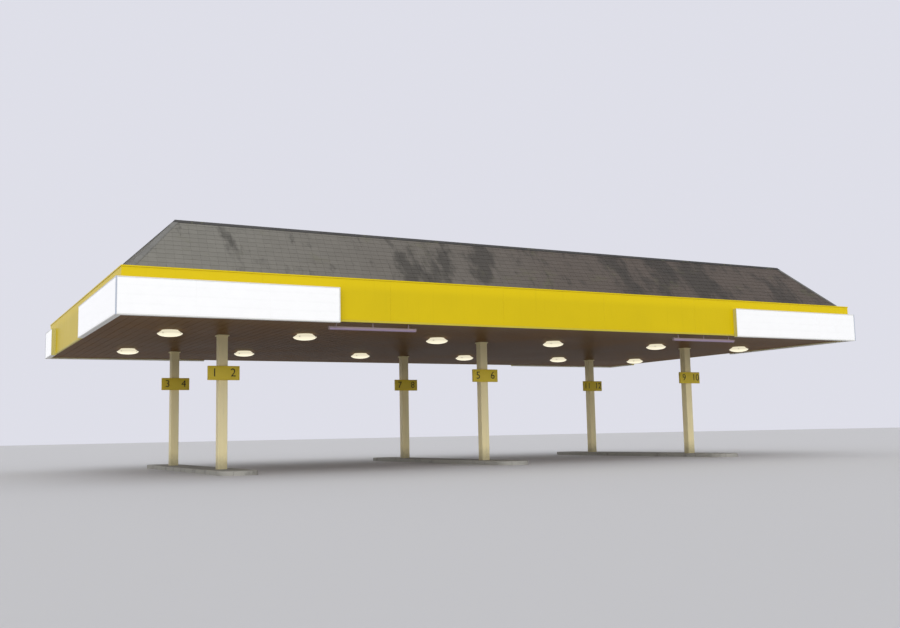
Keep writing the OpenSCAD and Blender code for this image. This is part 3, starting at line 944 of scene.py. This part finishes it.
class CANOPY_OT_signs(bpy.types.Operator):
    """Build the lit sign boxes with their rims, opal sheets and corner trims"""

    bl_idname = "canopy.signs"
    bl_label = "Sign boxes"

    # Each box's side, and the end of that side that it starts from
    places = {
        "sign_front_left": (FRONT, -1), "sign_front_right": (FRONT, 1),
        "sign_back_left": (BACK, 1), "sign_back_right": (BACK, -1),
        "sign_left_front": (LEFT, 1), "sign_left_back": (LEFT, -1),
        "sign_right_front": (RIGHT, -1), "sign_right_back": (RIGHT, 1),
    }
    set_back = 0.003
    rim = 0.03
    recess = 0.011
    edge = 0.002
    joint = 0.003
    sheet_thickness = 0.006
    trim_width = 0.038
    trim_thickness = 0.0028

    def execute(self, context):
        sizes, colours = choices(context)
        materials = [
            paint_finish("sign_return", colours.sign_return),
            paint_finish("sign_rim", colours.frame, 0.3, 0.1),
            opal_finish("sign_face", colours.opal, 0.38),
            paint_finish("sign_trim", colours.trim, 0.3, 0.1),
        ]
        for node, (side, end) in self.places.items():
            low, high = self.local_box(node, side)
            bm = bmesh.new()
            self.cabinet(bm, side, end, low, high)
            join(bm, self.sheets(low, high, sizes.sheet_length), material=2)
            join(bm, self.corner_trim(side, end, low, high), material=3)
            bmesh.ops.transform(bm, matrix=side_place(side), verts=bm.verts)
            make_piece("box_" + node, bm, materials, (node,))
        return {"FINISHED"}

    def local_box(self, node, side):
        """The node's box in its run's own frame."""
        back = side_place(side).inverted()
        corners = [back @ corner for corner in box_of(node)]
        return [Vector([pick(pair) for pair in zip(*corners)]) for pick in (min, max)]

    def cabinet(self, bm, side, end, low, high):
        """A tray with yellow returns, mitred at its corner, and a white rim round a recess."""
        add_box(bm, low + Vector((0, self.set_back, 0)), high)
        mitre(bm, side, (end,))
        front = min(bm.faces, key=lambda face: face.calc_center_median().y)
        around = list(front.edges)
        bmesh.ops.inset_region(bm, faces=[front], thickness=self.rim)
        bmesh.ops.inset_region(bm, faces=[front], thickness=0, depth=-self.recess)
        for face in bm.faces:
            if abs(face.normal.x) < 0.5 or face.calc_center_median().y < low.y + self.rim:
                face.material_index = 1
        bevel(bm, self.edge, 1, around)

    def sheets(self, low, high, length):
        """Opal sheets that butt together inside the rim."""
        inner = self.rim + self.joint
        back = low.y + self.set_back + self.recess
        near = (back - self.sheet_thickness, low.z + inner)
        far = (back - self.edge / 4, high.z - inner)
        parts = even_parts(low.x + inner, high.x - inner, length, self.joint)
        return boxes([((start, *near), (end, *far)) for start, end in parts], self.edge / 2)

    def corner_trim(self, side, end, low, high):
        """This box's half of the angle that covers the mitred corner."""
        corner = low.x if end < 0 else high.x
        inner = corner - end * self.trim_width
        part = boxes([((corner, low.y, low.z), (inner, low.y + self.trim_thickness, high.z))])
        mitre(part, side, (end,))
        return part


class CANOPY_OT_soffit(bpy.types.Operator):
    """Hang the soffit trays below the lining, with a trim round their edge"""

    bl_idname = "canopy.soffit"
    bl_label = "Soffit trays"

    gap = 0.006
    chamfer = 0.004
    end_gap = 0.003
    tray_length = 5.2
    edge_width = 0.045
    edge_depth = 0.016

    def execute(self, context):
        sizes, colours = choices(context)
        low, high = SOFFIT
        under = SOFFIT_Z - TRAY_DEPTH
        runs = even_parts(low.y, high.y, self.tray_length, self.end_gap)
        bm = bmesh.new()
        for start, end in even_parts(low.x, high.x, sizes.tray_width, self.gap):
            section = [
                (-start, SOFFIT_Z), (-start - self.chamfer, under),
                (-end + self.chamfer, under), (-end, SOFFIT_Z),
            ]
            join(bm, prisms(section, runs), turn(pi / 2))
        for side in range(4):
            near = (-half_run(side), FASCIA_THICKNESS, SOFFIT_Z - self.edge_depth)
            far = (half_run(side), FASCIA_THICKNESS + self.edge_width, SOFFIT_Z)
            join_run(bm, boxes([(near, far)]), side)
        make_piece("soffit_trays", bm, [soffit_finish(colours)])
        coat(paint_finish("soffit_back", shade(colours.soffit, 0.5)), "soffit")
        return {"FINISHED"}


class CANOPY_OT_downlights(bpy.types.Operator):
    """Fit the round downlights: a flange, a dim upper housing, a rim with clips and a bright bowl"""

    bl_idname = "canopy.downlights"
    bl_label = "Downlights"

    box = box_of("downlights_front")
    radius = (box[1].y - box[0].y) / 2
    bottom = box[0].z - SOFFIT_Z
    xs = (COLUMN_PITCH / 4, COLUMN_PITCH * 3 / 4, box[1].x - radius)
    steps = 40
    flange_radius = 0.262
    flange_depth = 0.018
    neck_radius = 0.247
    rim_top = -0.110
    rim_bottom = -0.135
    rim_width = 0.025
    rim_overlap = 0.001
    bowl_radius = radius - rim_width
    edge = 0.005
    clips = 4
    clip = Vector((0.012, 0.030, 0.045))

    def execute(self, context):
        colours = context.scene.canopy_colours
        materials = [
            paint_finish("lamp_housing", colours.housing, 0.35, 0.15),
            lamp_finish("lamp_cone", shade(colours.lamp, 0.97), 0.93),
            lamp_finish("lamp_bowl", colours.lamp, 1.0),
        ]
        for node in ("downlights_front", "downlights_back"):
            bm = bmesh.new()
            for x in self.xs:
                for end in (-1, 1):
                    self.lamp(bm, move(end * x, middle_of(node).y, SOFFIT_Z))
            make_piece("lamps_" + node.split("_")[1], bm, materials, (node,), smooth_below=35)
        return {"FINISHED"}

    def lamp(self, bm, place):
        for material, profile in ((0, self.flange()), (1, self.cone()), (2, self.bowl())):
            join(bm, turned(profile, self.steps), place, material)
        join(bm, turned(self.rim(), self.steps, ring=True), place, 1)
        middle = Vector((self.radius - self.clip.x / 2, 0, (self.rim_top + self.rim_bottom) / 2))
        corners = (middle - self.clip / 2, middle + self.clip / 2)
        for i in range(self.clips):
            join(bm, boxes([corners], self.edge / 2), place @ turn((i + 0.5) * FULL_TURN / self.clips))

    def flange(self):
        r, depth = self.flange_radius, self.flange_depth
        return [(0, 0), (r, 0), (r, self.edge - depth), (r - self.edge, -depth), (0, -depth)]

    def cone(self):
        """The upper cover, which flares from the neck to the rim with a rounded shoulder."""
        edge, neck, rim, top = self.edge, self.neck_radius, self.bowl_radius, self.rim_top
        return [
            (0, -self.flange_depth), (neck, -self.flange_depth), (neck + edge, -self.flange_depth - edge),
            (rim - 4 * edge, top + 4 * edge), (rim - edge, top + 2 * edge), (rim, top), (0, top),
        ]

    def rim(self):
        edge, outer, over = self.edge, self.radius, self.rim_overlap
        top, bottom = self.rim_top, self.rim_bottom
        inner = self.bowl_radius - 4 * edge
        return [
            (inner, top + over), (outer - edge, top + over), (outer, top - edge),
            (outer, bottom + edge), (outer - edge, bottom - over), (inner, bottom - over),
        ]

    def bowl(self):
        radius, bottom = self.bowl_radius, self.rim_bottom
        curve = arc((0, bottom), radius, self.bottom - bottom, 0, 90, 9)
        return [(0, bottom + self.edge), (radius, bottom + self.edge), *curve]


class CANOPY_OT_strip_lights(bpy.types.Operator):
    """Fit the strip lights behind the front fascia, each on its hangers"""

    bl_idname = "canopy.strip_lights"
    bl_label = "Strip lights"

    length = 2.9
    width = 0.11
    body_depth = 0.05
    height = 0.105
    box = box_of("strip_lights")
    bottom = box[0].z
    top = bottom + height
    inset = HALF_DEPTH + box[0].y
    middle_x = box[1].x - length / 2
    cap_length = 0.03
    cap_proud = 0.003
    edge = 0.0015
    hanger = (0.04, 0.006)
    hanger_end = 0.25
    hangers = 3
    foot = (0.09, 0.05)
    foot_height = 0.006

    def execute(self, context):
        colours = context.scene.canopy_colours
        materials = [
            paint_finish("strip_body", colours.strip_body, 0.35, 0.15),
            lamp_finish("strip_cover", colours.strip, 0.20, 0.9),
        ]
        bm = bmesh.new()
        for end in (-1, 1):
            self.light(bm, side_place(FRONT) @ move(end * self.middle_x, self.inset + self.width / 2))
        make_piece("strip_light_battens", bm, materials, ("strip_lights",), smooth_below=30)
        return {"FINISHED"}

    def light(self, bm, place):
        half = self.length / 2
        inner = half - self.cap_length / 2
        side = self.width / 2 - self.cap_proud
        base = self.top - self.cap_proud
        run = half - self.hanger_end
        corners = [((-inner, -side, self.top - self.body_depth), (inner, side, base))]
        for i in range(self.hangers):
            x = -run + i * 2 * run / (self.hangers - 1)
            for (width, depth), top in ((self.hanger, SOFFIT_Z), (self.foot, base + self.foot_height)):
                corners.append(((x - width / 2, -depth / 2, base), (x + width / 2, depth / 2, top)))
        body = boxes(corners)
        section = self.cover(0) + [(-self.width / 2, self.top), (self.width / 2, self.top)]
        for end in (-1, 1):
            add_prism(body, section, end * (half - self.cap_length), end * half)
        bevel(body, self.edge)
        join(bm, body, place, 0)
        join(bm, prisms(self.cover(self.cap_proud), [(-inner, inner)]), place, 1)

    def cover(self, shrink):
        """The rounded cover's section, from one lower edge of the body round to the other."""
        under = self.top - self.body_depth
        depth = under - self.bottom - shrink
        return arc((0, under), self.width / 2 - shrink, -depth, 0, 180, 12)


class CANOPY_OT_columns(bpy.types.Operator):
    """Finish the column casings with seams, a skirt and a trim under the soffit"""

    bl_idname = "canopy.columns"
    bl_label = "Columns"

    corner = 0.025
    sheet = 0.003
    skirt_height = 0.18
    head_height = 0.14
    flange_width = 0.05
    flange_depth = 0.035
    seam_width = 0.03
    seam_thickness = 0.0015

    def execute(self, context):
        colours = context.scene.canopy_colours
        casing = paint_finish("casing", colours.column, 0.42, 0.25, True)
        bm = bmesh.new()
        for node in COLUMNS:
            self.dress(bm, node)
        make_piece("column_trims", bm, [casing], smooth_below=30)
        coat(casing, *COLUMNS)
        steel = metal_finish("frame_steel", colours.steel, 0.5)
        coat(steel, "column_steels", "roof_beams", "purlins", "mansard_frames")
        return {"FINISHED"}

    def dress(self, bm, node):
        """Skirt, head trim and flange as sleeves, and a seam down the middle of each end face."""
        low, high = box_of(node)
        middle = (low + high) / 2
        place = move(middle.x, middle.y)
        width = high.x - low.x
        skirt_top = low.z + self.skirt_height
        head = SOFFIT_Z - self.head_height
        tray = SOFFIT_Z - TRAY_DEPTH
        for proud, wall, bottom, top in (
            (self.sheet, 2 * self.sheet, low.z, skirt_top), (self.sheet, 2 * self.sheet, head, SOFFIT_Z),
            (self.flange_width, self.flange_width, tray - self.flange_depth, tray),
        ):
            join(bm, sleeve(width + 2 * proud, self.corner + proud, wall, bottom, top), place)
        half = self.seam_width / 2
        skin = width / 2 + self.seam_thickness
        join(bm, boxes([
            ((end * width / 2, -half, skirt_top), (end * skin, half, head)) for end in (-1, 1)
        ]), place)


class CANOPY_OT_flags(bpy.types.Operator):
    """Build the number flags, each strapped across the front of its column"""

    bl_idname = "canopy.flags"
    bl_label = "Number flags"

    length = 1.06
    rounding = 0.012
    strap_height = 0.05
    strap_thickness = 0.006
    strap_offset = 0.12
    corner = 0.025
    lug = Vector((0.008, 0.03, 0.05))
    lug_gap = 0.012
    bolt_radius = 0.006
    numeral_x = 0.31
    numeral_depth = 0.0015
    # Height of a digit of the built-in font at a size of 1
    digit_height = 0.729

    def execute(self, context):
        sizes, colours = choices(context)
        materials = [
            yellow_finish("flag_panel", colours.flag), metal_finish("flag_strap", colours.steel, 0.4),
            paint_finish("numeral", colours.numeral, 0.5, 0.1),
        ]
        for row, node in enumerate(("number_flags_front", "number_flags_back")):
            bm = bmesh.new()
            for place, column in enumerate(COLUMN_ROWS[row]):
                self.flag(bm, column, box_of(node), 4 * place + 2 * row + 1, sizes.numeral_height)
            make_piece("flags_" + node.split("_")[2], bm, materials, (node,), smooth_below=35)
        return {"FINISHED"}

    def flag(self, bm, column, flags, first, numeral_height):
        """A flag with its number on the left and the next one on the right, on both faces."""
        low, high = flags
        casing_low, casing_high = box_of(column)
        middle = middle_of(column)
        width = casing_high.x - casing_low.x
        place = move(middle.x, middle.y, (low.z + high.z) / 2)
        front = low.y - middle.y
        back = casing_low.y - middle.y
        half, rise = self.length / 2, (high.z - low.z) / 2
        join(bm, boxes([((-half, front, -rise), (half, back, rise))], self.rounding, 2), place, 0)
        for end in (-1, 1):
            self.strap(bm, width, place @ move(0, 0, end * self.strap_offset))
            number = str(first + (end > 0))
            for y, angle in ((front, 0), (back, pi)):
                stand = place @ move(end * self.numeral_x, y) @ turn(angle)
                join(bm, self.numeral(number, numeral_height), stand, 2)

    def strap(self, bm, width, place):
        """A band round the column, closed at the back by a bolt through two lugs."""
        half = self.strap_height / 2
        outer = width + 2 * self.strap_thickness
        band = sleeve(outer, self.corner + self.strap_thickness, self.strap_thickness, -half, half)
        join(bm, band, place, 1)
        inner = self.lug_gap / 2
        near, far = outer / 2, outer / 2 + self.lug.y
        join(bm, boxes([
            ((end * inner, near, -self.lug.z / 2), (end * (inner + self.lug.x), far, self.lug.z / 2))
            for end in (-1, 1)
        ]), place, 1)
        reach = inner + self.lug.x + self.bolt_radius
        bolt = turned([(0, -reach), (self.bolt_radius, -reach), (self.bolt_radius, reach), (0, reach)], 6)
        join(bm, bolt, place @ move(0, (near + far) / 2) @ turn(pi / 2, "Y"), 1)

    def numeral(self, text, height):
        """A plain number in thin sheet, upright on the XZ plane and facing -Y."""
        curve = bpy.data.curves.new("numeral", "FONT")
        curve.body = text
        curve.size = height / self.digit_height
        curve.align_x = "CENTER"
        curve.align_y = "CENTER"
        curve.extrude = self.numeral_depth
        curve.resolution_u = 4
        holder = bpy.data.objects.new("numeral", curve)
        mesh = bpy.data.meshes.new_from_object(holder)
        bm = bmesh.new()
        bm.from_mesh(mesh)
        bpy.data.objects.remove(holder)
        bpy.data.curves.remove(curve)
        bpy.data.meshes.remove(mesh)
        bmesh.ops.remove_doubles(bm, verts=bm.verts, dist=1e-5)
        bmesh.ops.dissolve_degenerate(bm, dist=1e-4, edges=bm.edges)
        bmesh.ops.transform(bm, matrix=turn(pi / 2, "X"), verts=bm.verts)
        return bm


class CANOPY_OT_islands(bpy.types.Operator):
    """Lay the kerb stones round the islands and cast the slabs inside them"""

    bl_idname = "canopy.islands"
    bl_label = "Islands"

    islands = ("island_left", "island_centre", "island_right")
    kerb = box_of("island_kerbs")
    top = kerb[1].z
    slab = box_of("island_centre")
    stone_width = 0.125
    half_width = (slab[1].x - slab[0].x) / 2 + stone_width
    straight = kerb[1].y - kerb[0].y - 2 * half_width
    nose = 0.030
    joint = 0.008
    edge = 0.003
    shrink = 0.004
    end_stones = 3
    steps = 5
    bay = 3.0

    def execute(self, context):
        sizes, colours = choices(context)
        stone = concrete_finish("kerb_stone", colours.kerb)
        mortar = concrete_finish("kerb_mortar", colours.mortar)
        bm = bmesh.new()
        for node in self.islands:
            place = move(middle_of(node).x, middle_of(node).y)
            for facing in (-1, 1):
                self.straights(bm, place @ turn(facing * pi / 2), sizes.kerb_length)
                self.end(bm, place @ move(0, facing * self.straight / 2), 0 if facing > 0 else pi)
        make_piece("kerb_stones", bm, [stone, mortar], ("island_kerbs",), smooth_below=35)
        coat(concrete_finish("island_slab", colours.concrete, self.bay), *self.islands)
        return {"FINISHED"}

    def section(self, shrink):
        """Section of a kerb stone, by distance out from the island's middle and height."""
        inner = self.half_width - self.stone_width
        outer = self.half_width - shrink
        top = self.top - shrink
        curve = arc((outer - self.nose, top - self.nose), self.nose, self.nose, 90, 0, 3)
        return [(inner, 0), (inner, top), *curve, (outer, 0)]

    def straights(self, bm, place, length):
        half = self.straight / 2
        runs = even_parts(-half, half, length, self.joint)
        join(bm, prisms(self.section(0), runs, self.edge), place, 0)
        join(bm, prisms(self.section(self.shrink), [(-half, half)]), place, 1)

    def end(self, bm, centre, start):
        """The radius stones round one end of an island, from the angle where it starts."""
        angle = pi / self.end_stones
        slit = self.joint / self.half_width
        for i in range(self.end_stones):
            stone = turned(self.section(0), self.steps, angle - slit, True)
            join(bm, stone, centre @ turn(start + i * angle + slit / 2), 0)
        core = turned(self.section(self.shrink), self.steps * self.end_stones, pi, True)
        join(bm, core, centre @ turn(start), 1)


class CANOPY_OT_roof_well(bpy.types.Operator):
    """Sheet the deck, the linings and the gutters inside and round the mansard"""

    bl_idname = "canopy.roof_well"
    bl_label = "Deck, linings and gutters"

    strip_pitch = 1.2
    strip_width = 0.06
    strip_thickness = 0.008
    head_clear = 0.15
    flashing_height = 0.15
    flashing_reach = 0.15
    flashing_thickness = 0.003

    def execute(self, context):
        colours = context.scene.canopy_colours
        sheet = metal_finish("roof_sheet", colours.sheet, 0.45)
        lead = metal_finish("flashing", shade(colours.sheet, 0.8), 0.55, 0.5)
        bm = bmesh.new()
        for side in range(4):
            join(bm, self.cover_strips(half_run(side) - WELL_INSET), side_place(side), 0)
            join_run(bm, self.flashing(half_run(side) - WELL_INSET + self.flashing_reach), side, 1)
        make_piece("lining_strips", bm, [sheet, lead])
        coat(sheet, "linings_long", "linings_short", "gutters_long", "gutters_short")
        coat(deck_finish(colours), "roof_deck")
        coat(timber_finish("eaves_timber", colours.timber), "eaves_plates")
        return {"FINISHED"}

    def cover_strips(self, reach):
        """Upright strips over the joints of the lining sheets."""
        half = self.strip_width / 2
        far = WELL_INSET + self.strip_thickness
        return boxes([
            ((start - half, WELL_INSET, DECK_TOP), (start + half, far, RIDGE_Z - self.head_clear))
            for start, _ in even_parts(-reach, reach, self.strip_pitch, 0)[1:]
        ], self.strip_thickness / 3)

    def flashing(self, reach):
        """A dressed angle where the lining stands on the deck."""
        inner = WELL_INSET + self.strip_thickness + self.flashing_thickness
        toe = inner + self.flashing_reach
        top = DECK_TOP + self.flashing_thickness
        high = DECK_TOP + self.flashing_height
        section = [
            (WELL_INSET, high), (WELL_INSET, DECK_TOP), (toe, DECK_TOP),
            (toe, top), (inner, top), (inner, high),
        ]
        return prisms(section, [(-reach, reach)])


class CANOPY_PT_panel(bpy.types.Panel):
    """Lists the parts of the canopy that can be dressed"""

    bl_label = "Canopy"
    bl_space_type = "VIEW_3D"
    bl_region_type = "UI"
    bl_category = "Canopy"

    def draw(self, context):
        for operator in OPERATORS:
            self.layout.operator(operator.bl_idname)
        for group in choices(context):
            for name in type(group).__annotations__:
                self.layout.prop(group, name)


OPERATORS = (
    CANOPY_OT_stage, CANOPY_OT_slates, CANOPY_OT_cappings, CANOPY_OT_fascias, CANOPY_OT_signs,
    CANOPY_OT_soffit, CANOPY_OT_downlights, CANOPY_OT_strip_lights, CANOPY_OT_columns, CANOPY_OT_flags,
    CANOPY_OT_islands, CANOPY_OT_roof_well,
)
CLASSES = (CanopySizes, CanopyColours, *OPERATORS, CANOPY_PT_panel)


def register():
    for item in CLASSES:
        bpy.utils.register_class(item)
    bpy.types.Scene.canopy_sizes = PointerProperty(type=CanopySizes)
    bpy.types.Scene.canopy_colours = PointerProperty(type=CanopyColours)


def unregister():
    del bpy.types.Scene.canopy_colours
    del bpy.types.Scene.canopy_sizes
    for item in reversed(CLASSES):
        bpy.utils.unregister_class(item)


def main():
    register()
    for operator in OPERATORS:
        group, name = operator.bl_idname.split(".")
        getattr(getattr(bpy.ops, group), name)()


if __name__ == "__main__":
    main()
